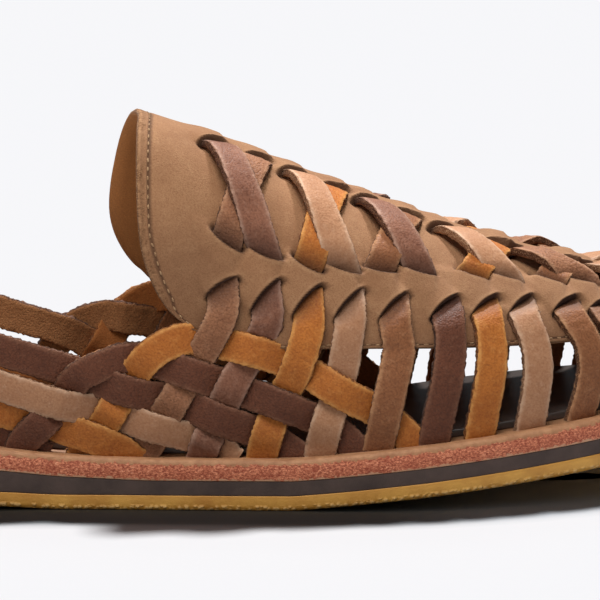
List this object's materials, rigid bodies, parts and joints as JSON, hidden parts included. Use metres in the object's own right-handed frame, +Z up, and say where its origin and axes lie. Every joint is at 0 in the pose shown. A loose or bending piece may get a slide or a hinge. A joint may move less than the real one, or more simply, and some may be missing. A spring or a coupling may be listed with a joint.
{
  "type": "huarache sandal",
  "caption": "Woven leather huarache sandal, right shoe, with a laced vamp, open quarter, heel straps and layered flat sole.",
  "frame": {"origin": "middle of the heel's flat face, on the floor", "axes": "+X towards the toe, +Z up, -Y towards the shoe's lateral side"},
  "size_m": [0.262, 0.0877, 0.0924],
  "materials": {
    "gum_rubber": "satin",
    "dark_rubber": "matte",
    "board_leather": "matte",
    "sock_leather": "matte",
    "upper_leather": "satin"
  },
  "bodies": {
    "root": {"outsole": "gum_rubber", "midsole": "dark_rubber", "footbed_board": "board_leather", "insole": "sock_leather", "upper": "upper_leather"}
  },
  "joints": []
}
